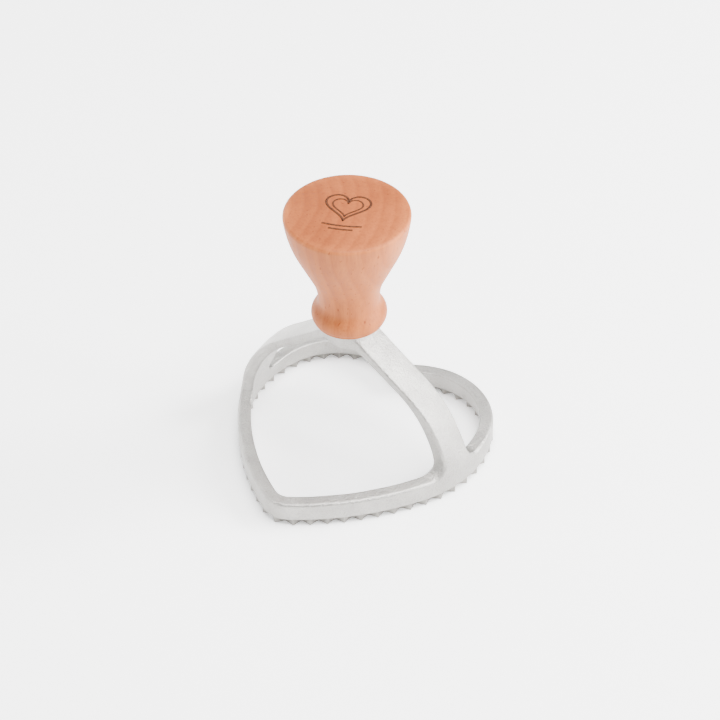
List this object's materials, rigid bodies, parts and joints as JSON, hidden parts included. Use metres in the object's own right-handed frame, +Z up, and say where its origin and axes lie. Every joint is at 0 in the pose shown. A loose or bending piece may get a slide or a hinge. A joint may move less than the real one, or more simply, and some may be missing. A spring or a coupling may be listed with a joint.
{
  "type": "heart-shaped ravioli and pastry stamp",
  "caption": "Hand stamp for pastry and filled pasta: a cast heart-shaped ring with a zigzag cutting edge, an arched bracket over it and a turned wooden knob on top.",
  "frame": {"origin": "in the plane of the cutting edge, at the middle of the heart's width and length, which is the centre of the bounding box's base; the knob's axis is parallel to Z and passes 2.35 mm behind it, at y = 0.00235", "axes": "+Z up along the knob's axis, +Y towards the two lobes of the heart, -Y towards its point, X along the bracket"},
  "size_m": [0.07, 0.0697, 0.0795],
  "materials": {
    "cast_metal": "satin, finely grained as cast",
    "knob_wood": "smooth turned, unvarnished",
    "screw_steel": "zinc plated"
  },
  "bodies": {
    "root": {"stamp_casting": "cast_metal", "knob": "knob_wood", "knob_screw": "screw_steel"}
  },
  "joints": []
}
